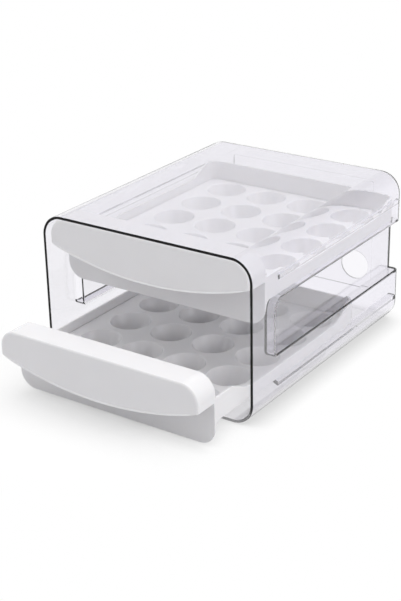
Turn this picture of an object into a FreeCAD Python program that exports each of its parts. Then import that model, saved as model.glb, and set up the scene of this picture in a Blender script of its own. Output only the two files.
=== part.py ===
import FreeCAD, Part
import math
import os
from FreeCAD import Vector

# Two-tier egg holder: a clear open-fronted case and two white pull-out drawers,
# each with a lift-out tray of cups. All lengths in millimetres.
# Frame: X to the right, Y to the back, Z up, origin under the middle of the case.

# Case
case_width = 216.0
case_depth = 260.0
case_height = 148.0
case_wall = 2.4
case_corner_radius = 20.0
case_back_radius = 5.0
case_rim_radius = 0.8

# Grip hollow along each side of the case
grip_depth = 10.0
grip_height = 49.0
grip_setback = 37.0
grip_top_corner_radius = 11.0
grip_low_corner_radius = 2.0
grip_mouth_radius = 1.2
grip_ridge_radius = 1.5

# Ribs on the side walls: the lower drawer runs on one, the upper drawer is guided by the other
runner_top = 25.4
runner_width = 7.6
guide_rise = 15.0
guide_gap = 0.4
rib_thickness = 4.0
rib_setback = 40.6
rib_slant = 4.4

# Back wall of the case
back_step_width = 156.0
back_step_low = 24.0
back_step_height = 110.0
back_step_radius = 2.0
back_step_depth = 1.2
vent_diameter = 29.0
vent_spacing = 121.0
vent_centre_height = 47.0

# Fit of the drawers in the case
drawer_setback = 2.0
drawer_side_gap = 3.4
drawer_back_gap = 0.8
drawer_run_gap = 0.2
hood_top_gap = 1.0
panel_floor_gap = 1.0
tier_gap = 14.8
hold_down_gap = 3.0
lower_pull = 73.0

# Finger hood and front panel of a drawer
hood_depth = 24.0
hood_wall = 2.0
hood_corner_radius = 16.5
hood_edge_radius = 2.5
lip_middle_height = 0.5
lip_side_height = 17.5
panel_thickness = 2.0
panel_corner_radius = 15.0
panel_edge_radius = 0.8
gusset_radius = 6.5

# Side and back walls of a drawer
basket_wall = 1.8
basket_corner_radius = 10.0
basket_low_height = 11.2
slope_front_setback = 25.0
slope_back_setback = 15.0
slope_run = 21.0
slope_radius = 20.0
flange_thickness = 1.2
flange_side_width = 6.0
flange_front_width = 3.0
flange_back_width = 2.6
flange_corner_radius = 6.0

# Lift-out tray of cups
tray_gap = 0.4
tray_front_radius = 1.0
deck_thickness = 1.4
cup_columns = 4
cup_rows = 5
cup_mouth_radius = 19.0
cup_floor_radius = 12.0
cup_corner_radius = 8.0
cup_lip_radius = 1.2
cup_wall = 1.4
cup_lift = 1.3
cup_side_gap = 5.0
cup_end_gap = 0.5

# Length by which a cutting shape passes the face it cuts
overrun = 12.0

# Distance below which two points count as one
same_point = 0.002

# Planes and heights that follow from the sizes above
case_half = case_width / 2
front_y = -case_depth / 2
back_y = case_depth / 2
inner_half = case_half - case_wall
inner_back_y = back_y - case_wall
inner_top = case_height - case_wall
drawer_half = inner_half - drawer_side_gap
drawer_length = inner_back_y - drawer_back_gap - drawer_setback - front_y
lower_seat = runner_top + drawer_run_gap
panel_drop = lower_seat - case_wall - panel_floor_gap
upper_seat = (tier_gap + panel_drop + lower_seat + inner_top - hood_top_gap) / 2
hood_rise = inner_top - hood_top_gap - upper_seat
grip_high = upper_seat - drawer_run_gap - case_wall
grip_low = grip_high - grip_height
basket_high_height = grip_low - case_wall - hold_down_gap - lower_seat
closed_lip_y = front_y + drawer_setback


def in_xy(z):
    """Places u and v along X and Y at height z"""
    return lambda u, v: Vector(u, v, z)


def in_xz(y):
    """Places u and v along X and Z at depth y"""
    return lambda u, v: Vector(u, y, v)


def in_yz(x):
    """Places u and v along Y and Z at width x"""
    return lambda u, v: Vector(x, u, v)


def rounded_wire(corners, place):
    """Closed wire through corners given as u, v and rounding radius"""
    points = [Vector(u, v, 0) for u, v, radius in corners]
    stops = []
    for index, (u, v, radius) in enumerate(corners):
        corner = points[index]
        before = (points[index - 1] - corner).normalize()
        after = (points[(index + 1) % len(points)] - corner).normalize()
        half_angle = before.getAngle(after) / 2
        reach = radius / math.tan(half_angle)
        crown = (before + after).normalize() * (radius / math.sin(half_angle) - radius)
        stops.append((corner + before * reach, corner + crown, corner + after * reach))
    edges = []
    for index, (start, middle, end) in enumerate(stops):
        if corners[index][2] > 0:
            edges.append(Part.Arc(place(*start[:2]), place(*middle[:2]), place(*end[:2])).toShape())
        following = stops[(index + 1) % len(stops)][0]
        if end.distanceToPoint(following) > same_point:
            edges.append(Part.LineSegment(place(*end[:2]), place(*following[:2])).toShape())
    return Part.Wire(edges)


def prism(corners, place, sweep):
    """Solid swept from a closed outline with rounded corners"""
    return Part.Face(rounded_wire(corners, place)).extrude(sweep)


def edges_on(shape, axis, level):
    """Edges of a shape that lie in the plane square to an axis at a level"""
    found = []
    for edge in shape.Edges:
        ends = edge.BoundBox
        low = getattr(ends, axis + "Min")
        high = getattr(ends, axis + "Max")
        if abs(low - level) < same_point and abs(high - level) < same_point:
            found.append(edge)
    return found


def mirrored(shape):
    """The same shape on the other side of the middle plane"""
    return shape.mirror(Vector(0, 0, 0), Vector(1, 0, 0))


def case_section(inset):
    """Outline of the case seen from the front, moved inwards by an inset"""
    half = case_half - inset
    radius = case_corner_radius - inset
    low = inset
    high = case_height - inset
    return [(-half, low, radius), (half, low, radius), (half, high, radius), (-half, high, radius)]


def grip_outline(growth):
    """Outline of the grip hollow seen from the side, grown on all closed sides"""
    near = front_y + grip_setback - growth
    far = back_y + overrun
    low = grip_low - growth
    high = grip_high + growth
    return [
        (near, low, grip_low_corner_radius + growth),
        (far, low, 0),
        (far, high, 0),
        (near, high, grip_top_corner_radius + growth),
    ]


def grip_cutter():
    """Space of the right grip hollow, with a mouth that opens in a rounded edge"""
    floor_x = case_half - grip_depth
    hollow = prism(grip_outline(0), in_yz(floor_x), Vector(grip_depth + overrun, 0, 0))
    margin = grip_mouth_radius * 2
    near = front_y + grip_setback - margin
    far = back_y + overrun
    low = grip_low - margin
    high = grip_high + margin
    around = [(near, low, 0), (far, low, 0), (far, high, 0), (near, high, 0)]
    block = prism(around, in_yz(case_half - margin), Vector(margin, 0, 0))
    plate = block.cut(hollow)
    mouth = []
    for edge in edges_on(plate, "X", case_half):
        middle = edge.BoundBox.Center
        inside = near + margin / 2 < middle.y < far - margin / 2
        if inside and low + margin / 2 < middle.z < high - margin / 2:
            mouth.append(edge)
    return hollow.fuse(block.cut(plate.makeFillet(grip_mouth_radius, mouth)))


def grip_ridge():
    """Body that the right grip hollow takes from the inside of the case"""
    ridge_x = case_half - grip_depth - case_wall
    ridge = prism(grip_outline(case_wall), in_yz(ridge_x), Vector(grip_depth + case_wall + overrun, 0, 0))
    return ridge.makeFillet(grip_ridge_radius, edges_on(ridge, "X", ridge_x))


def side_rib(low, width):
    """Right rib of a width from a height upwards, rooted in the side and back walls"""
    edge_x = inner_half - width
    root_x = inner_half + case_wall / 4
    near = front_y + rib_setback
    far = inner_back_y + case_wall / 4
    plan = [(edge_x, near + rib_slant, 0), (root_x, near, 0), (root_x, far, 0), (edge_x, far, 0)]
    return prism(plan, in_xy(low), Vector(0, 0, rib_thickness))


def outer_case():
    """Clear case, open at the front"""
    shell = prism(case_section(0), in_xz(front_y), Vector(0, case_depth, 0))
    shell = shell.makeFillet(case_back_radius, edges_on(shell, "Y", back_y))
    inner_depth = inner_back_y - front_y
    room = prism(case_section(case_wall), in_xz(front_y - overrun), Vector(0, inner_depth + overrun, 0))
    room = room.makeFillet(case_back_radius - case_wall, edges_on(room, "Y", inner_back_y))
    ridge = grip_ridge()
    room = room.cut([ridge, mirrored(ridge)])
    cutter = grip_cutter()
    shell = shell.cut([cutter, mirrored(cutter), room])
    shell = shell.makeFillet(case_rim_radius, edges_on(shell, "Y", front_y))
    runner = side_rib(runner_top - rib_thickness, runner_width)
    guide = side_rib(upper_seat + guide_rise, drawer_side_gap - guide_gap)
    shell = shell.fuse([runner, mirrored(runner), guide, mirrored(guide)])
    half = back_step_width / 2
    low = back_step_low
    high = low + back_step_height
    radius = back_step_radius
    step = [(-half, low, radius), (half, low, radius), (half, high, radius), (-half, high, radius)]
    cuts = [prism(step, in_xz(back_y - back_step_depth), Vector(0, back_step_depth + overrun, 0))]
    for side in (-1, 1):
        start = Vector(side * vent_spacing / 2, inner_back_y - overrun, vent_centre_height)
        cuts.append(Part.makeCylinder(vent_diameter / 2, case_wall + overrun * 2, start, Vector(0, 1, 0)))
    return shell.cut(cuts).removeSplitter()


def drawer_front(lip_y, seat):
    """Finger hood and the set-back panel below it"""
    low = seat - panel_drop
    high = seat + hood_rise
    depth = hood_depth + panel_thickness
    outline = [
        (-drawer_half, low, panel_corner_radius),
        (drawer_half, low, panel_corner_radius),
        (drawer_half, high, hood_corner_radius),
        (-drawer_half, high, hood_corner_radius),
    ]
    front = prism(outline, in_xz(lip_y), Vector(0, depth, 0))
    front = front.makeFillet(hood_edge_radius, edges_on(front, "Y", lip_y))
    front = front.makeFillet(panel_edge_radius, edges_on(front, "Y", lip_y + depth))
    half = drawer_half - hood_wall
    top = high - hood_wall
    radius = hood_corner_radius - hood_wall
    bottom = low - overrun
    finger_room = [(-half, bottom, 0), (half, bottom, 0), (half, top, radius), (-half, top, radius)]
    front = front.cut(prism(finger_room, in_xz(lip_y + hood_wall), Vector(0, hood_depth - hood_wall, 0)))
    return front.cut(below_lip(lip_y, seat, bottom))


def below_lip(lip_y, seat, bottom):
    """Space under the curved lower edge of the hood"""
    place = in_xz(lip_y - overrun)
    side = seat + lip_side_height
    left = place(-drawer_half, side)
    right = place(drawer_half, side)
    low_left = place(-drawer_half - overrun, bottom)
    low_right = place(drawer_half + overrun, bottom)
    edges = [
        Part.Arc(left, place(0, seat + lip_middle_height), right).toShape(),
        Part.makePolygon([right, place(drawer_half + overrun, side), low_right, low_left]),
        Part.makePolygon([low_left, place(-drawer_half - overrun, side), left]),
    ]
    outline = Part.Wire([edge for shape in edges for edge in shape.Edges])
    return Part.Face(outline).extrude(Vector(0, hood_depth + overrun, 0))


def basket_plan(start_y, tail_y, inset):
    """Plan of the basket behind the panel, moved inwards by an inset at the sides and back"""
    half = drawer_half - inset
    radius = basket_corner_radius - inset
    end = tail_y - inset
    return [(-half, start_y, 0), (half, start_y, 0), (half, end, radius), (-half, end, radius)]


def basket_walls(lip_y, seat):
    """Side and back walls, low along the cups and high at both ends"""
    start_y = lip_y + hood_depth
    tail_y = lip_y + drawer_length
    low = seat + basket_low_height
    high = seat + basket_high_height
    up = Vector(0, 0, basket_high_height)
    walls = prism(basket_plan(start_y, tail_y, 0), in_xy(seat), up)
    walls = walls.cut(prism(basket_plan(start_y - overrun, tail_y, basket_wall), in_xy(seat), up))
    falling = start_y + panel_thickness + slope_front_setback
    rising = tail_y - slope_back_setback
    side = [
        (start_y - overrun, seat, 0),
        (tail_y + overrun, seat, 0),
        (tail_y + overrun, high, 0),
        (rising, high, slope_radius),
        (rising - slope_run, low, slope_radius),
        (falling + slope_run, low, slope_radius),
        (falling, high, slope_radius),
        (start_y - overrun, high, 0),
    ]
    span = drawer_half + overrun
    return walls.common(prism(side, in_yz(-span), Vector(span * 2, 0, 0)))


def flange_opening(lip_y):
    """Plan of the space inside the flange: half width, front and back"""
    half = drawer_half - basket_wall - flange_side_width
    near = lip_y + hood_depth + panel_thickness + flange_front_width
    far = lip_y + drawer_length - basket_wall - flange_back_width
    return half, near, far


def flange(lip_y, seat):
    """Flat ring that carries the tray"""
    half, near, far = flange_opening(lip_y)
    up = Vector(0, 0, flange_thickness)
    ring = prism(basket_plan(lip_y + hood_depth, lip_y + drawer_length, 0), in_xy(seat), up)
    radius = flange_corner_radius
    opening = [(-half, near, radius), (half, near, radius), (half, far, radius), (-half, far, radius)]
    return ring.cut(prism(opening, in_xy(seat), up))


def gusset(lip_y, seat):
    """Hollow-curved web between the panel and the right side wall"""
    start_y = lip_y + hood_depth
    panel_y = start_y + panel_thickness
    side = [
        (start_y, seat - gusset_radius, 0),
        (panel_y, seat - gusset_radius, 0),
        (panel_y, seat, gusset_radius),
        (panel_y + gusset_radius + basket_wall, seat, 0),
        (panel_y + gusset_radius + basket_wall, seat + flange_thickness, 0),
        (start_y, seat + flange_thickness, 0),
    ]
    return prism(side, in_yz(drawer_half - basket_wall), Vector(basket_wall, 0, 0))


def drawer_frame(lip_y, seat):
    """White drawer moulding without its tray"""
    web = gusset(lip_y, seat)
    pieces = [basket_walls(lip_y, seat), flange(lip_y, seat), web, mirrored(web)]
    return drawer_front(lip_y, seat).fuse(pieces).removeSplitter()


def turned(corners):
    """Solid of revolution about Z from an outline given as radius, height and rounding"""
    return Part.Face(rounded_wire(corners, in_xz(0))).revolve(Vector(0, 0, 0), Vector(0, 0, 1), 360)


def egg_tray(lip_y, seat):
    """White tray of cups that lies on the flange of a drawer"""
    deck_low = seat + flange_thickness
    deck_top = deck_low + deck_thickness
    near = lip_y + hood_depth + panel_thickness + tray_gap
    plan = basket_plan(near, lip_y + drawer_length, basket_wall + tray_gap)
    plan[0] = (plan[0][0], near, tray_front_radius)
    plan[1] = (plan[1][0], near, tray_front_radius)
    deck = prism(plan, in_xy(deck_low), Vector(0, 0, deck_thickness))
    under = seat - panel_drop + cup_lift
    floor = under + cup_wall
    outer_radius = cup_mouth_radius + cup_wall
    body = turned([
        (0, under, 0),
        (cup_floor_radius + cup_wall, under, cup_corner_radius + cup_wall),
        (outer_radius, deck_low, 0),
        (outer_radius, deck_low + deck_thickness / 2, 0),
        (0, deck_low + deck_thickness / 2, 0),
    ])
    room = turned([
        (0, floor, 0),
        (cup_floor_radius, floor, cup_corner_radius),
        (cup_mouth_radius, deck_top, cup_lip_radius),
        (cup_mouth_radius + cup_lip_radius, deck_top, 0),
        (cup_mouth_radius + cup_lip_radius, deck_top + overrun, 0),
        (0, deck_top + overrun, 0),
    ])
    half, front, back = flange_opening(lip_y)
    across = half - cup_side_gap - outer_radius
    first = front + cup_end_gap + outer_radius
    last = back - cup_end_gap - outer_radius
    bodies = []
    rooms = []
    for row in range(cup_rows):
        for column in range(cup_columns):
            x = -across + across * 2 * column / (cup_columns - 1)
            y = first + (last - first) * row / (cup_rows - 1)
            bodies.append(body.translated(Vector(x, y, 0)))
            rooms.append(room.translated(Vector(x, y, 0)))
    return deck.fuse(bodies).cut(rooms).removeSplitter()


os.makedirs("parts", exist_ok=True)
lower_lip_y = closed_lip_y - lower_pull
nodes = {
    "outer_case": outer_case(),
    "lower_drawer": drawer_frame(lower_lip_y, lower_seat),
    "lower_egg_tray": egg_tray(lower_lip_y, lower_seat),
    "upper_drawer": drawer_frame(closed_lip_y, upper_seat),
    "upper_egg_tray": egg_tray(closed_lip_y, upper_seat),
}
for name, shape in nodes.items():
    shape.exportStep("parts/" + name + ".step")
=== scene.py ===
import math

import bmesh
import bpy
from bpy.props import FloatProperty, FloatVectorProperty, IntProperty, PointerProperty
from mathutils import Matrix, Vector


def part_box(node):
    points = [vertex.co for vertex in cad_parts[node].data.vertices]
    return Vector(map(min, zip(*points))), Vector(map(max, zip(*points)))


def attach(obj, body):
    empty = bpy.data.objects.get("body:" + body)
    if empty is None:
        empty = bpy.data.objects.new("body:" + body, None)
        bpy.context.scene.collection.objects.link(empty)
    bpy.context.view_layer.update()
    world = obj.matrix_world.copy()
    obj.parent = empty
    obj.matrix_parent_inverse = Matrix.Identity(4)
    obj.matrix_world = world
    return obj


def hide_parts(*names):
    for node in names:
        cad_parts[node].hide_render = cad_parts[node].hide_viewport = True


bl_info = {
    "name": "Two-tier egg holder",
    "version": (1, 0, 0),
    "blender": (4, 5, 0),
    "location": "View3D > Sidebar > Egg holder",
    "description": "Dresses the egg holder: clear case, white drawers and trays of cups",
    "category": "Object",
}

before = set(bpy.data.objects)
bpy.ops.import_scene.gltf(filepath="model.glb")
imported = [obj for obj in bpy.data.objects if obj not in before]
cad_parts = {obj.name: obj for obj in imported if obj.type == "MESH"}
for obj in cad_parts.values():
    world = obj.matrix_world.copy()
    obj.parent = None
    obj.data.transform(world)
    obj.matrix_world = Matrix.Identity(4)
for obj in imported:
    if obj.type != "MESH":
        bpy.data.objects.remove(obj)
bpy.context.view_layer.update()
MM = 0.001
TIERS = ("lower", "upper")
# Corners of the CAD mesh, and of a made mesh, that lie closer than this are one
CAD_WELD = 0.002 * MM
WELD = 0.01 * MM
# CAD triangles that meet at less than this lie in one flat face
FLAT = math.radians(0.5)
# Edges of a drawer that turn more than this are softened
HARD_EDGE = math.radians(40)
# Edges that turn more than this stay crisp
CASE_CRISP = math.radians(30)
TRAY_CRISP = math.radians(35)
DRAWER_CRISP = math.radians(36)
# A face is square to an axis from this share of its normal on
SQUARE = 0.999
# Depth of the rounded rim around the open front of the case, the band whose faces are painted dark
RIM_DEPTH = 1.0 * MM
# A face looks to the front where its normal's Y is below this
TO_FRONT = -0.02
# Steps of a rounded corner in a cup's profile and in the deck's outline
CUP_STEPS = 6
DECK_STEPS = 8
FLOOR_HALF = 8.0
FRAME_HEIGHT_MM = 36.0


def linear(code):
    """Linear RGB from an sRGB hex code"""
    channels = [int(code[i:i + 2], 16) / 255 for i in (0, 2, 4)]
    return tuple(c / 12.92 if c <= 0.04045 else ((c + 0.055) / 1.055) ** 2.4 for c in channels)


def add(tree, kind, settings=None, inputs=None):
    """Adds a node with its settings; an input is given a value or linked from a socket"""
    node = tree.nodes.new(kind)
    for name, value in (settings or {}).items():
        setattr(node, name, value)
    for name, value in (inputs or {}).items():
        socket = node.inputs[name]
        if isinstance(value, bpy.types.NodeSocket):
            tree.links.new(value, socket)
        else:
            socket.default_value = value
    return node


# Sizes and colours that a user would change

class EggHolderTray(bpy.types.PropertyGroup):
    """Sizes of a tray of cups"""
    columns: IntProperty(name="Columns", description="Cups across the tray", default=4, min=2)
    rows: IntProperty(name="Rows", description="Cups along the tray", default=5, min=2)
    pitch_across: FloatProperty(
        name="Pitch across", description="Distance between columns", default=46.0 * MM, unit="LENGTH")
    pitch_along: FloatProperty(
        name="Pitch along", description="Distance between rows", default=44.9 * MM, unit="LENGTH")
    row_shift: FloatProperty(
        name="Row shift", description="Middle of the rows behind the middle of the deck",
        default=0.2 * MM, unit="LENGTH")
    mouth_radius: FloatProperty(
        name="Mouth radius", description="Radius of a cup at the deck", default=19.0 * MM, unit="LENGTH")
    floor_radius: FloatProperty(
        name="Floor radius", description="Radius of a cup at its floor", default=12.0 * MM, unit="LENGTH")
    corner_radius: FloatProperty(
        name="Corner radius", description="Rounding between floor and wall of a cup",
        default=8.0 * MM, unit="LENGTH")
    lip_radius: FloatProperty(
        name="Lip radius", description="Rounding at the mouth of a cup", default=1.2 * MM, unit="LENGTH")
    wall: FloatProperty(
        name="Cup wall", description="Thickness of the cups", default=1.4 * MM, unit="LENGTH")
    deck: FloatProperty(
        name="Deck", description="Thickness of the deck", default=1.4 * MM, unit="LENGTH")
    front_radius: FloatProperty(
        name="Front corners", description="Rounding of the front corners", default=1.0 * MM, unit="LENGTH")
    back_radius: FloatProperty(
        name="Back corners", description="Rounding of the back corners", default=7.8 * MM, unit="LENGTH")
    segments: IntProperty(name="Segments", description="Sides of a round cup", default=48, min=12)


class EggHolderFinish(bpy.types.PropertyGroup):
    """Colours of the plastics"""
    clear: FloatVectorProperty(
        name="Clear case", description="Tint of the clear case", subtype="COLOR",
        default=linear("F8F7FB"), min=0, max=1)
    # Painted shade: dark tint that the case's outlines and front rim are painted with
    clear_edge_painted_shade: FloatVectorProperty(
        name="Clear edges", description="Tint of the clear case seen along a wall", subtype="COLOR",
        default=linear("2C2B31"), min=0, max=1)
    white: FloatVectorProperty(
        name="White moulding", description="Colour of drawers and trays", subtype="COLOR",
        default=linear("F0EFF1"), min=0, max=1)
    edge_softness: FloatProperty(
        name="Edge softness", description="Rounding of the drawers' edges", default=0.5 * MM, unit="LENGTH")
    bead_height: FloatProperty(
        name="Bead height", description="Height of the bead along the lower edge of a hood",
        default=1.25 * MM, unit="LENGTH")
    bead_depth: FloatProperty(
        name="Bead depth", description="How far that bead stands out from the hood's face",
        default=1.0 * MM, unit="LENGTH")
    hood_border: FloatProperty(
        name="Hood border", description="Depth of the rounded border of the hood's face",
        default=2.5 * MM, unit="LENGTH")


class EggHolderStage(bpy.types.PropertyGroup):
    """Camera and light"""
    camera_place: FloatVectorProperty(
        name="Camera", description="Place of the camera", subtype="TRANSLATION",
        default=(0.63374, -0.95427, 0.54731))
    azimuth: FloatProperty(
        name="Azimuth", description="Turn of the camera to the right of the front",
        default=math.radians(34.930), unit="ROTATION")
    elevation: FloatProperty(
        name="Elevation", description="Camera's look down", default=math.radians(23.795), unit="ROTATION")
    roll: FloatProperty(
        name="Roll", description="Turn of the picture", default=math.radians(-1.194), unit="ROTATION")
    lens: FloatProperty(
        name="Lens", description="Focal length in mm on a 36 mm frame height", default=80.73)
    floor_colour: FloatVectorProperty(
        name="Floor", description="Colour of the floor where it lights the object", subtype="COLOR",
        default=linear("D6D6D8"), min=0, max=1)
    floor_seen: FloatVectorProperty(
        name="Floor as seen", description="Colour of the floor in the picture", subtype="COLOR",
        default=linear("FAFAFA"), min=0, max=1)


class EggHolderSettings(bpy.types.PropertyGroup):
    """All settings of the egg holder"""
    tray: PointerProperty(type=EggHolderTray)
    finish: PointerProperty(type=EggHolderFinish)
    stage: PointerProperty(type=EggHolderStage)


# Materials

def new_material(name):
    """Empty material: its tree and its output node"""
    material = bpy.data.materials.new(name)
    material.use_nodes = True
    material.node_tree.nodes.clear()
    output = add(material.node_tree, "ShaderNodeOutputMaterial")
    return material, material.node_tree, output


def clear_polystyrene(colour, painted_edge_shade):
    """Clear moulded polystyrene"""
    # Injection-moulded, polished tool: glassy gloss, painted dark outlines and front rim, faint flow waves
    # and rub marks.
    material, tree, output = new_material("clear moulded polystyrene")
    place = add(tree, "ShaderNodeTexCoord").outputs["Object"]
    # Flow waves of about 40 mm in the moulded faces
    waves = add(tree, "ShaderNodeTexNoise", None, {"Vector": place, "Scale": 1 / (40 * MM), "Detail": 1.0})
    bump = add(tree, "ShaderNodeBump", None, {
        "Height": waves.outputs["Fac"], "Strength": 0.04, "Distance": 1.0 * MM})
    # Rub marks of about 6 mm, a little less glossy than the rest
    rubs = add(tree, "ShaderNodeTexNoise", None, {"Vector": place, "Scale": 1 / (6 * MM), "Detail": 4.0})
    gloss = add(tree, "ShaderNodeMapRange", None, {
        "Value": rubs.outputs["Fac"], "From Min": 0.45, "From Max": 0.75, "To Min": 0.015, "To Max": 0.05})
    shader = add(tree, "ShaderNodeBsdfPrincipled", None, {
        "Base Color": (*colour, 1), "Roughness": gloss.outputs["Result"], "Normal": bump.outputs["Normal"],
        "IOR": 1.57, "Transmission Weight": 1.0})
    # Painted shade: where a rounded wall turns away from the view, camera rays pass through a dark tint, a
    # painted dark outline that stands in for the dark surroundings the wall bends
    facing = add(tree, "ShaderNodeLayerWeight", None, {"Blend": 0.5}).outputs["Facing"]
    painted_outline_shade = add(tree, "ShaderNodeMapRange", {"interpolation_type": "SMOOTHSTEP"}, {
        "Value": facing, "From Min": 0.84, "From Max": 1.0, "To Max": 0.7})
    rounded = add(tree, "ShaderNodeAttribute", {"attribute_name": "rounded"}).outputs["Fac"]
    outline = add(tree, "ShaderNodeMath", {"operation": "MULTIPLY"}, {
        0: painted_outline_shade.outputs["Result"], 1: rounded})
    # Painted shade: the rim around the open front is drawn dark from every side, a painted dark line for
    # the wall's cut edge
    rim = add(tree, "ShaderNodeAttribute", {"attribute_name": "rim"}).outputs["Fac"]
    along = add(tree, "ShaderNodeMath", {"operation": "MULTIPLY_ADD", "use_clamp": True}, {
        0: rim, 1: 0.6, 2: outline.outputs[0]})
    # Light that falls through both faces of a wall loses a twelfth and lights what is inside
    passed = (0.957, 0.957, 0.962, 1)
    path = add(tree, "ShaderNodeLightPath").outputs
    falling = add(tree, "ShaderNodeMath", {"operation": "MAXIMUM"}, {
        0: path["Is Shadow Ray"], 1: path["Is Diffuse Ray"]})
    either = add(tree, "ShaderNodeMath", {"operation": "MAXIMUM"}, {
        0: falling.outputs[0], 1: along.outputs[0]})
    # Camera rays that pass take the painted dark edge tint; rays from lamps and bounces take the pale one
    passing = add(tree, "ShaderNodeMix", {"data_type": "RGBA"}, {
        "Factor": falling.outputs[0], "A": (*painted_edge_shade, 1), "B": passed})
    through = add(tree, "ShaderNodeBsdfTransparent", None, {"Color": passing.outputs["Result"]})
    mix = add(tree, "ShaderNodeMixShader", None, {
        0: either.outputs[0], 1: shader.outputs[0], 2: through.outputs[0]})
    tree.links.new(mix.outputs[0], output.inputs["Surface"])
    return material


def white_polypropylene(colour):
    """White moulded polypropylene"""
    # Injection-moulded, fine satin tool: soft broad gloss, slightly waxy depth, faint mottling.
    material, tree, output = new_material("white moulded polypropylene")
    place = add(tree, "ShaderNodeTexCoord").outputs["Object"]
    # Mottling of about 30 mm in the pigment
    mottle = add(tree, "ShaderNodeTexNoise", None, {"Vector": place, "Scale": 1 / (30 * MM), "Detail": 2.0})
    darker = tuple(c * 0.965 for c in colour)
    tint = add(tree, "ShaderNodeMix", {"data_type": "RGBA"}, {
        "Factor": mottle.outputs["Fac"], "A": (*darker, 1), "B": (*colour, 1)})
    # Satin grain; the real 0.1 mm grit is drawn at 0.8 mm so that it shows
    grain = add(tree, "ShaderNodeTexNoise", None, {"Vector": place, "Scale": 1 / (0.8 * MM), "Detail": 2.0})
    bump = add(tree, "ShaderNodeBump", None, {
        "Height": grain.outputs["Fac"], "Strength": 0.08, "Distance": 0.05 * MM})
    gloss = add(tree, "ShaderNodeMapRange", None, {
        "Value": mottle.outputs["Fac"], "To Min": 0.2, "To Max": 0.28})
    shader = add(tree, "ShaderNodeBsdfPrincipled", None, {
        "Base Color": tint.outputs["Result"], "Roughness": gloss.outputs["Result"],
        "Normal": bump.outputs["Normal"], "IOR": 1.49, "Subsurface Weight": 0.15,
        "Subsurface Radius": (1.0, 0.9, 0.8), "Subsurface Scale": 1.5 * MM})
    tree.links.new(shader.outputs["BSDF"], output.inputs["Surface"])
    return material


# Mesh helpers

def add_piece(name, mesh, material):
    """Object at the origin with a finished mesh and one material"""
    piece = bpy.data.objects.new(name, mesh)
    bpy.context.scene.collection.objects.link(piece)
    mesh.materials.clear()
    mesh.materials.append(material)
    return piece


def smooth(mesh, crisp):
    """Smooth shading, with edges that turn more than an angle left crisp"""
    mesh.polygons.foreach_set("use_smooth", [True] * len(mesh.polygons))
    mesh.set_sharp_from_angle(angle=crisp)


def merged_copy(node, name):
    """Copy of a CAD node's mesh with its loose triangles joined"""
    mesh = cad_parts[node].data.copy()
    mesh.name = name
    if "custom_normal" in mesh.attributes:
        mesh.attributes.remove(mesh.attributes["custom_normal"])
    work = bmesh.new()
    work.from_mesh(mesh)
    bmesh.ops.remove_doubles(work, verts=work.verts, dist=CAD_WELD)
    bmesh.ops.dissolve_limit(work, angle_limit=FLAT, verts=work.verts, edges=work.edges)
    work.to_mesh(mesh)
    work.free()
    return mesh


def mark_edges(mesh, front_y):
    """Face attributes that mask the painted dark edges: rounded is 1 on faces not square to an axis, rim is
    1 around the open front
    """
    for name, is_marked in (
        ("rounded", lambda face: max(map(abs, face.normal)) < SQUARE),
        ("rim", lambda face: face.center.y < front_y + RIM_DEPTH),
    ):
        marks = mesh.attributes.new(name, "FLOAT", "FACE")
        for face, mark in zip(mesh.polygons, marks.data):
            mark.value = float(is_marked(face))


def raise_bead(mesh, lip_y, finish):
    """Sets the hood's face back behind a bead that runs along its lower edge"""
    work = bmesh.new()
    work.from_mesh(mesh)
    at_front = [face for face in work.faces if abs(face.calc_center_median().y - lip_y) < WELD]
    face = max(at_front, key=lambda item: item.calc_area())
    low_edges = [edge for edge in face.edges if edge.calc_face_angle() > HARD_EDGE]
    line = sorted({corner for edge in low_edges for corner in edge.verts}, key=lambda corner: corner.co.x)
    # The bead is a strip of quads cut from the face, which runs out at both ends
    ridge = line[1:-1]
    rise = Vector((0, 0, finish.bead_height))
    known = set(work.verts)
    bmesh.utils.face_split(face, line[0], line[-1], coords=[corner.co + rise for corner in ridge])
    crease = sorted(set(work.verts) - known, key=lambda corner: corner.co.x)
    for low, high in zip(ridge, crease):
        strip = set(low.link_faces) & set(high.link_faces)
        bmesh.utils.face_split(strip.pop(), low, high)
    # The face and its rounded border go back, the border less and less
    work.normal_update()
    facing = [
        item for item in work.faces
        if item.normal.y < TO_FRONT and item.calc_center_median().y < lip_y + finish.hood_border]
    for corner in {corner for item in facing for corner in item.verts} - set(ridge):
        corner.co.y += finish.bead_depth * (1 - (corner.co.y - lip_y) / finish.hood_border)
    work.to_mesh(mesh)
    work.free()


def face_normals(piece):
    """Lets large flat faces set the normals at their corners, so that they shade flat"""
    weigh = piece.modifiers.new("face normals", "WEIGHTED_NORMAL")
    weigh.mode = "FACE_AREA"
    weigh.keep_sharp = True


def baked(piece):
    """Plain mesh of a piece with its modifiers applied; the modifiers are then removed"""
    graph = bpy.context.evaluated_depsgraph_get()
    mesh = bpy.data.meshes.new_from_object(piece.evaluated_get(graph))
    piece.modifiers.clear()
    return mesh


# Tray of cups

def new_tree(name, inputs):
    """Empty geometry tree with named inputs: the tree and the sockets that give their values"""
    tree = bpy.data.node_groups.new(name, "GeometryNodeTree")
    tree.interface.new_socket("Geometry", in_out="OUTPUT", socket_type="NodeSocketGeometry")
    for label, kind in inputs.items():
        tree.interface.new_socket(label, in_out="INPUT", socket_type="NodeSocket" + kind)
    return tree, dict(add(tree, "NodeGroupInput").outputs.items())


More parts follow.
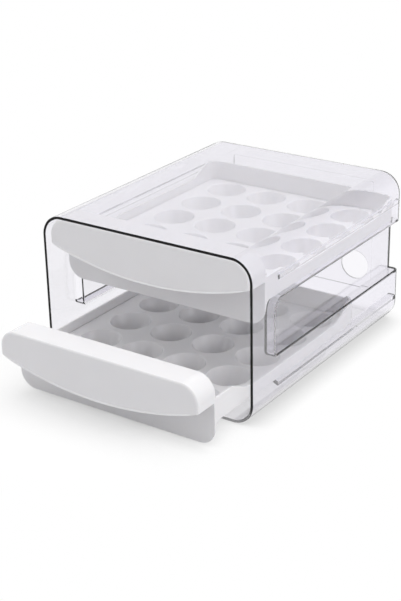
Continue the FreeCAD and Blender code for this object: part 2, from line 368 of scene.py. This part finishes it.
def turned_cup_tree():
    """Node tree of one face of a cup: a profile from floor to rim, turned about Z"""
    labels = (
        "Floor Radius", "Floor Level", "Mouth Radius", "Mouth Level", "Rim Radius", "Corner Radius",
        "Lip Radius")
    tree, size = new_tree("turned cup", {**{label: "Float" for label in labels}, "Segments": "Int"})
    ends = (
        (0.0, size["Floor Level"]),
        (size["Floor Radius"], size["Floor Level"]),
        (size["Mouth Radius"], size["Mouth Level"]),
        (size["Rim Radius"], size["Mouth Level"]),
    )
    corners = {}
    for number, (out, up) in enumerate(ends, 1):
        corner = add(tree, "ShaderNodeCombineXYZ", None, {"X": out, "Z": up})
        corners["Point %d" % number] = corner.outputs[0]
    loop = add(tree, "GeometryNodeCurvePrimitiveQuadrilateral", {"mode": "POINTS"}, corners)
    line = add(tree, "GeometryNodeSetSplineCyclic", None, {
        "Geometry": loop.outputs["Curve"], "Cyclic": False})
    # The second corner takes the rounding of the floor, the third that of the lip
    index = add(tree, "GeometryNodeInputIndex").outputs[0]
    rounding = 0.0
    for number, radius in ((1, size["Corner Radius"]), (2, size["Lip Radius"])):
        here = add(tree, "FunctionNodeCompare", {"data_type": "INT", "operation": "EQUAL"}, {
            2: index, 3: number})
        rounding = add(tree, "GeometryNodeSwitch", {"input_type": "FLOAT"}, {
            "Switch": here.outputs[0], "False": rounding, "True": radius}).outputs[0]
    profile = add(tree, "GeometryNodeFilletCurve", {"mode": "POLY"}, {
        "Curve": line.outputs[0], "Count": CUP_STEPS, "Radius": rounding}).outputs[0]
    # A grid becomes the cup: one of its sides goes round, the other follows the profile
    count = add(tree, "GeometryNodeAttributeDomainSize", {"component": "CURVE"}, {"Geometry": profile})
    round_count = add(tree, "ShaderNodeMath", {"operation": "ADD"}, {0: size["Segments"], 1: 1})
    web = add(tree, "GeometryNodeMeshGrid", None, {
        "Vertices X": round_count.outputs[0], "Vertices Y": count.outputs["Point Count"]})
    share = add(tree, "ShaderNodeSeparateXYZ", None, {0: web.outputs["UV Map"]}).outputs
    last = add(tree, "ShaderNodeMath", {"operation": "SUBTRACT"}, {0: count.outputs["Point Count"], 1: 1})
    step = add(tree, "ShaderNodeMath", {"operation": "MULTIPLY"}, {0: share["Y"], 1: last.outputs[0]})
    whole = add(tree, "ShaderNodeMath", {"operation": "ROUND"}, {0: step.outputs[0]})
    sample = add(tree, "GeometryNodeSampleIndex", {"data_type": "FLOAT_VECTOR"}, {
        "Geometry": profile, "Value": add(tree, "GeometryNodeInputPosition").outputs[0],
        "Index": whole.outputs[0]})
    angle = add(tree, "ShaderNodeMath", {"operation": "MULTIPLY"}, {0: share["X"], 1: math.tau})
    ring = add(tree, "ShaderNodeVectorRotate", {"rotation_type": "Z_AXIS"}, {
        "Vector": sample.outputs[0], "Angle": angle.outputs[0]})
    cup = add(tree, "GeometryNodeSetPosition", None, {
        "Geometry": web.outputs["Mesh"], "Position": ring.outputs[0]})
    add(tree, "NodeGroupOutput", None, {"Geometry": cup.outputs[0]})
    return tree


def tray_tree():
    """Node tree of a tray: a deck with a hole for each cup, and the cups"""
    counts = ("Columns", "Rows", "Segments")
    lengths = (
        "Pitch Across", "Pitch Along", "Row Shift", "Deck Width", "Deck Length", "Deck", "Front Radius",
        "Back Radius", "Depth", "Mouth Radius", "Floor Radius", "Corner Radius", "Lip Radius", "Wall")
    kinds = {**{label: "Int" for label in counts}, **{label: "Float" for label in lengths}}
    tree, size = new_tree("tray of cups", {**kinds, "Middle": "Vector", "Material": "Material"})
    for label, operation, first, second in (
        ("column gaps", "SUBTRACT", "Columns", 1),
        ("row gaps", "SUBTRACT", "Rows", 1),
        ("across", "MULTIPLY", "Pitch Across", "column gaps"),
        ("along", "MULTIPLY", "Pitch Along", "row gaps"),
        ("deck low", "MULTIPLY", "Deck", -1),
        ("under", "MULTIPLY", "Depth", -1),
        ("floor", "ADD", "under", "Wall"),
        ("rim", "ADD", "Mouth Radius", "Lip Radius"),
        ("outer floor", "ADD", "Floor Radius", "Wall"),
        ("outer mouth", "ADD", "Mouth Radius", "Wall"),
        ("outer corner", "ADD", "Corner Radius", "Wall"),
    ):
        size[label] = add(tree, "ShaderNodeMath", {"operation": operation}, {
            0: size.get(first, first), 1: size.get(second, second)}).outputs[0]

    # Middles of the cups
    grid = add(tree, "GeometryNodeMeshGrid", None, {
        "Size X": size["across"], "Size Y": size["along"],
        "Vertices X": size["Columns"], "Vertices Y": size["Rows"]})
    shift = add(tree, "ShaderNodeCombineXYZ", None, {"Y": size["Row Shift"]})
    middles = add(tree, "GeometryNodeTransform", None, {
        "Geometry": grid.outputs["Mesh"], "Translation": shift.outputs[0]}).outputs[0]

    # Outline of the deck, with tighter corners at the front
    sheet = add(tree, "GeometryNodeCurvePrimitiveQuadrilateral", None, {
        "Width": size["Deck Width"], "Height": size["Deck Length"]})
    place = add(tree, "GeometryNodeInputPosition").outputs[0]
    behind = add(tree, "ShaderNodeSeparateXYZ", None, {0: place}).outputs["Y"]
    is_back = add(tree, "FunctionNodeCompare", {"operation": "GREATER_THAN"}, {"A": behind, "B": 0.0})
    corner = add(tree, "GeometryNodeSwitch", {"input_type": "FLOAT"}, {
        "Switch": is_back.outputs[0], "False": size["Front Radius"], "True": size["Back Radius"]})
    outline = add(tree, "GeometryNodeFilletCurve", {"mode": "POLY"}, {
        "Curve": sheet.outputs["Curve"], "Count": DECK_STEPS, "Radius": corner.outputs[0]}).outputs[0]

    # Upper faces of deck and cups, then their undersides
    cup_tree = turned_cup_tree()
    surfaces = []
    for floor_radius, floor, mouth, level, rim, corner_radius, lip in (
        (size["Floor Radius"], size["floor"], size["Mouth Radius"], 0.0, size["rim"],
         size["Corner Radius"], size["Lip Radius"]),
        (size["outer floor"], size["under"], size["outer mouth"], size["deck low"], size["outer mouth"],
         size["outer corner"], 0.0),
    ):
        cup = add(tree, "GeometryNodeGroup", {"node_tree": cup_tree}, {
            "Floor Radius": floor_radius, "Floor Level": floor, "Mouth Radius": mouth, "Mouth Level": level,
            "Rim Radius": rim, "Corner Radius": corner_radius, "Lip Radius": lip,
            "Segments": size["Segments"]})
        cups = add(tree, "GeometryNodeInstanceOnPoints", None, {
            "Points": middles, "Instance": cup.outputs[0]})
        circle = add(tree, "GeometryNodeCurvePrimitiveCircle", None, {
            "Resolution": size["Segments"], "Radius": rim})
        holes = add(tree, "GeometryNodeInstanceOnPoints", None, {
            "Points": middles, "Instance": circle.outputs["Curve"]})
        loops = add(tree, "GeometryNodeJoinGeometry")
        real_holes = add(tree, "GeometryNodeRealizeInstances", None, {"Geometry": holes.outputs[0]})
        tree.links.new(real_holes.outputs[0], loops.inputs[0])
        tree.links.new(outline, loops.inputs[0])
        face = add(tree, "GeometryNodeFillCurve", {"mode": "TRIANGLES"}, {"Curve": loops.outputs[0]})
        rise = add(tree, "ShaderNodeCombineXYZ", None, {"Z": level})
        deck = add(tree, "GeometryNodeTransform", None, {
            "Geometry": face.outputs[0], "Translation": rise.outputs[0]})
        surfaces += [cups.outputs[0], deck.outputs[0]]

    # Edge of the deck
    rim_line = add(tree, "GeometryNodeCurveToMesh", None, {"Curve": outline})
    edge = add(tree, "GeometryNodeExtrudeMesh", {"mode": "EDGES"}, {
        "Mesh": rim_line.outputs[0], "Offset": rise.outputs[0], "Offset Scale": 1.0})
    surfaces.append(edge.outputs["Mesh"])

    tray = add(tree, "GeometryNodeJoinGeometry")
    for surface in surfaces:
        tree.links.new(surface, tray.inputs[0])
    real = add(tree, "GeometryNodeRealizeInstances", None, {"Geometry": tray.outputs[0]})
    moved = add(tree, "GeometryNodeTransform", None, {
        "Geometry": real.outputs[0], "Translation": size["Middle"]})
    finish = add(tree, "GeometryNodeSetMaterial", None, {
        "Geometry": moved.outputs[0], "Material": size["Material"]})
    add(tree, "NodeGroupOutput", None, {"Geometry": finish.outputs[0]})
    return tree


def make_tray(tier, sizes, material):
    """Tray of one tier, placed where its CAD node lies"""
    low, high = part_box(tier + "_egg_tray")
    low, high = Vector(low), Vector(high)
    values = {
        "Columns": sizes.columns, "Rows": sizes.rows,
        "Pitch Across": sizes.pitch_across, "Pitch Along": sizes.pitch_along, "Row Shift": sizes.row_shift,
        "Deck Width": high.x - low.x, "Deck Length": high.y - low.y, "Depth": high.z - low.z,
        "Front Radius": sizes.front_radius, "Back Radius": sizes.back_radius,
        "Mouth Radius": sizes.mouth_radius, "Floor Radius": sizes.floor_radius,
        "Corner Radius": sizes.corner_radius, "Lip Radius": sizes.lip_radius,
        "Wall": sizes.wall, "Deck": sizes.deck, "Segments": sizes.segments,
        "Middle": Vector(((low.x + high.x) / 2, (low.y + high.y) / 2, high.z)),
        "Material": material,
    }
    tree = tray_tree()
    name = tier + "_cup_tray"
    piece = add_piece(name, bpy.data.meshes.new(name), material)
    nodes = piece.modifiers.new("tray of cups", "NODES")
    nodes.node_group = tree
    for item in tree.interface.items_tree:
        if item.in_out == "INPUT":
            nodes[item.identifier] = values[item.name]
    mesh = baked(piece)
    work = bmesh.new()
    work.from_mesh(mesh)
    bmesh.ops.remove_doubles(work, verts=work.verts, dist=WELD)
    bmesh.ops.recalc_face_normals(work, faces=work.faces)
    open_edges = sum(not edge.is_manifold for edge in work.edges)
    work.to_mesh(mesh)
    work.free()
    if open_edges:
        raise RuntimeError(name + " has %d open edges" % open_edges)
    smooth(mesh, TRAY_CRISP)
    piece.data = mesh
    return piece


# Operators

class EGGHOLDER_OT_case(bpy.types.Operator):
    """Makes the clear case"""
    bl_idname = "egg_holder.case"
    bl_label = "Clear case"

    def execute(self, context):
        finish = context.scene.egg_holder.finish
        mesh = merged_copy("outer_case", "clear_case")
        mark_edges(mesh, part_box("outer_case")[0][1])
        smooth(mesh, CASE_CRISP)
        piece = add_piece("clear_case", mesh, clear_polystyrene(finish.clear, finish.clear_edge_painted_shade))
        face_normals(piece)
        piece.data = baked(piece)
        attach(piece, "case")
        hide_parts("outer_case")
        return {"FINISHED"}


class EGGHOLDER_OT_drawers(bpy.types.Operator):
    """Makes the two white drawers"""
    bl_idname = "egg_holder.drawers"
    bl_label = "White drawers"

    def execute(self, context):
        finish = context.scene.egg_holder.finish
        material = white_polypropylene(finish.white)
        for tier in TIERS:
            name = tier + "_drawer_moulding"
            mesh = merged_copy(tier + "_drawer", name)
            raise_bead(mesh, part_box(tier + "_drawer")[0][1], finish)
            piece = add_piece(name, mesh, material)
            bevel = piece.modifiers.new("soft edges", "BEVEL")
            bevel.width = finish.edge_softness
            bevel.segments = 3
            bevel.limit_method = "ANGLE"
            bevel.angle_limit = HARD_EDGE
            piece.data = baked(piece)
            smooth(piece.data, DRAWER_CRISP)
            face_normals(piece)
            piece.data = baked(piece)
            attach(piece, tier)
            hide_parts(tier + "_drawer")
        return {"FINISHED"}


class EGGHOLDER_OT_trays(bpy.types.Operator):
    """Makes the two white trays of cups"""
    bl_idname = "egg_holder.trays"
    bl_label = "Trays of cups"

    def execute(self, context):
        settings = context.scene.egg_holder
        material = white_polypropylene(settings.finish.white)
        for tier in TIERS:
            piece = make_tray(tier, settings.tray, material)
            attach(piece, tier)
            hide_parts(tier + "_egg_tray")
        return {"FINISHED"}


class EGGHOLDER_OT_stage(bpy.types.Operator):
    """Sets the floor, the light and the camera"""
    bl_idname = "egg_holder.stage"
    bl_label = "Stage"

    def execute(self, context):
        stage = context.scene.egg_holder.stage
        self.make_floor(context, stage)
        self.make_world(context)
        self.make_lamps(context)
        self.make_camera(context, stage)
        context.scene.view_settings.view_transform = "Standard"
        return {"FINISHED"}

    def seen_directly(self, tree):
        """1 for rays from the camera, from a reflection or through the clear case"""
        path = add(tree, "ShaderNodeLightPath").outputs
        first = add(tree, "ShaderNodeMath", {"operation": "MAXIMUM"}, {
            0: path["Is Camera Ray"], 1: path["Is Glossy Ray"]})
        both = add(tree, "ShaderNodeMath", {"operation": "MAXIMUM"}, {
            0: first.outputs[0], 1: path["Is Transmission Ray"]})
        return both.outputs[0]

    def make_floor(self, context, stage):
        """Wide pale floor that keeps the object's shadow, with a painted contact shadow close to it"""
        material, tree, output = new_material("pale studio floor")
        seen = self.seen_directly(tree)
        colour = add(tree, "ShaderNodeMix", {"data_type": "RGBA"}, {
            "Factor": seen, "A": (*stage.floor_colour, 1), "B": (*stage.floor_seen, 1)})
        paint = add(tree, "ShaderNodeBsdfDiffuse", None, {"Color": colour.outputs["Result"]})
        # Painted contact shadow: the floor's glow is dimmed where the object nearly touches it
        nearness = add(tree, "ShaderNodeAmbientOcclusion", {"samples": 8}, {"Distance": 25 * MM})
        painted_contact_shadow = add(tree, "ShaderNodeMapRange", None, {
            "Value": nearness.outputs["AO"], "From Min": 0.3, "From Max": 0.85, "To Min": 0.7})
        glow = add(tree, "ShaderNodeEmission", None, {
            "Color": (1, 1, 1, 1), "Strength": painted_contact_shadow.outputs["Result"]})
        # The shadow stays near the object and fades into white around it
        per_reach = (1 / 0.17, 1 / 0.2, 0)
        shift = (0.2, 0.6, 0)
        place = add(tree, "ShaderNodeTexCoord").outputs["Object"]
        round_object = add(tree, "ShaderNodeVectorMath", {"operation": "MULTIPLY_ADD"}, {
            0: place, 1: per_reach, 2: shift})
        away = add(tree, "ShaderNodeVectorMath", {"operation": "LENGTH"}, {0: round_object.outputs[0]})
        fade = add(tree, "ShaderNodeMapRange", {"interpolation_type": "SMOOTHSTEP"}, {
            "Value": away.outputs["Value"], "From Min": 0.35, "From Max": 1.0,
            "To Min": 0.62, "To Max": 1.0})
        share = add(tree, "ShaderNodeMath", {"operation": "MULTIPLY"}, {0: seen, 1: fade.outputs["Result"]})
        mix = add(tree, "ShaderNodeMixShader", None, {
            0: share.outputs[0], 1: paint.outputs[0], 2: glow.outputs[0]})
        tree.links.new(mix.outputs[0], output.inputs["Surface"])
        sides = ((-1, -1), (1, -1), (1, 1), (-1, 1))
        corners = [(x * FLOOR_HALF, y * FLOOR_HALF, 0) for x, y in sides]
        mesh = bpy.data.meshes.new("floor")
        mesh.from_pydata(corners, [], [(0, 1, 2, 3)])
        floor = add_piece("floor", mesh, material)

    def make_world(self, context):
        """White surround, dimmer as a light than as a background"""
        world = bpy.data.worlds.new("studio")
        world.use_nodes = True
        tree = world.node_tree
        tree.nodes.clear()
        # The clear case mirrors and bends a dim ceiling, which draws its edges; lower down all is white
        direction = add(tree, "ShaderNodeTexCoord").outputs["Generated"]
        height = add(tree, "ShaderNodeSeparateXYZ", None, {0: direction}).outputs["Z"]
        seen = add(tree, "ShaderNodeMapRange", {"interpolation_type": "SMOOTHSTEP"}, {
            "Value": height, "From Min": 0.1, "From Max": 0.6, "To Min": 1.0, "To Max": 0.5})
        zenith = add(tree, "ShaderNodeMapRange", {"interpolation_type": "SMOOTHSTEP"}, {
            "Value": height, "From Min": 0.6, "From Max": 0.85,
            "To Min": seen.outputs["Result"], "To Max": 0.1})
        level = add(tree, "ShaderNodeMapRange", None, {
            "Value": self.seen_directly(tree), "To Min": 0.62, "To Max": zenith.outputs["Result"]})
        light = add(tree, "ShaderNodeBackground", None, {
            "Color": (1, 1, 1, 1), "Strength": level.outputs["Result"]})
        output = add(tree, "ShaderNodeOutputWorld")
        tree.links.new(light.outputs[0], output.inputs["Surface"])
        context.scene.world = world

    def make_lamps(self, context):
        """Soft box above and smaller ones at the left of the front and at the right"""
        # Name, place, point aimed at, width in m, power in W
        lamps = (
            ("top box", (0.1, 0.1, 1.6), (0.0, -0.03, 0.05), 1.4, 14.0),
            ("left box", (-1.2, -1.0, 0.9), (0.0, -0.05, 0.07), 0.9, 1.5),
            ("right box", (1.5, 0.0, 0.7), (0.0, -0.05, 0.07), 0.9, 5.0),
        )
        for name, place, target, width, power in lamps:
            lamp = bpy.data.lights.new(name, "AREA")
            lamp.size = width
            lamp.energy = power
            box = bpy.data.objects.new(name, lamp)
            aim = Vector(place) - Vector(target)
            box.matrix_world = Matrix.Translation(place) @ aim.to_track_quat("Z", "Y").to_matrix().to_4x4()
            context.scene.collection.objects.link(box)

    def make_camera(self, context, stage):
        """Camera at the place found for the picture"""
        a, e, r = stage.azimuth, stage.elevation, stage.roll
        back = Vector((math.sin(a) * math.cos(e), -math.cos(a) * math.cos(e), math.sin(e)))
        level = Vector((math.cos(a), math.sin(a), 0))
        upright = back.cross(level)
        right = level * math.cos(r) + upright * math.sin(r)
        up = upright * math.cos(r) - level * math.sin(r)
        turn = Matrix((right, up, back)).transposed().to_4x4()
        lens = bpy.data.cameras.new("camera")
        lens.sensor_fit = "VERTICAL"
        lens.sensor_height = FRAME_HEIGHT_MM
        lens.lens = stage.lens
        camera = bpy.data.objects.new("camera", lens)
        camera.matrix_world = Matrix.Translation(stage.camera_place) @ turn
        context.scene.collection.objects.link(camera)
        context.scene.camera = camera


class EGGHOLDER_PT_panel(bpy.types.Panel):
    """Lists the egg holder's settings and operators"""
    bl_idname = "EGGHOLDER_PT_panel"
    bl_label = "Egg holder"
    bl_space_type = "VIEW_3D"
    bl_region_type = "UI"
    bl_category = "Egg holder"

    def draw(self, context):
        settings = context.scene.egg_holder
        for group in (settings.tray, settings.finish, settings.stage):
            box = self.layout.box()
            for name in group.bl_rna.properties.keys():
                if name not in {"rna_type", "name"}:
                    box.prop(group, name)
        for operator in OPERATORS:
            self.layout.operator(operator.bl_idname)


OPERATORS = (EGGHOLDER_OT_case, EGGHOLDER_OT_drawers, EGGHOLDER_OT_trays, EGGHOLDER_OT_stage)
GROUPS = (EggHolderTray, EggHolderFinish, EggHolderStage, EggHolderSettings)
CLASSES = GROUPS + OPERATORS + (EGGHOLDER_PT_panel,)


def register():
    """Registers the classes and the settings"""
    for item in CLASSES:
        bpy.utils.register_class(item)
    bpy.types.Scene.egg_holder = PointerProperty(type=EggHolderSettings)


def unregister():
    """Takes the settings and the classes away again"""
    del bpy.types.Scene.egg_holder
    for item in reversed(CLASSES):
        bpy.utils.unregister_class(item)


def main():
    """Builds the egg holder and its stage"""
    register()
    bpy.ops.egg_holder.case()
    bpy.ops.egg_holder.drawers()
    bpy.ops.egg_holder.trays()
    bpy.ops.egg_holder.stage()


if __name__ == "__main__":
    main()
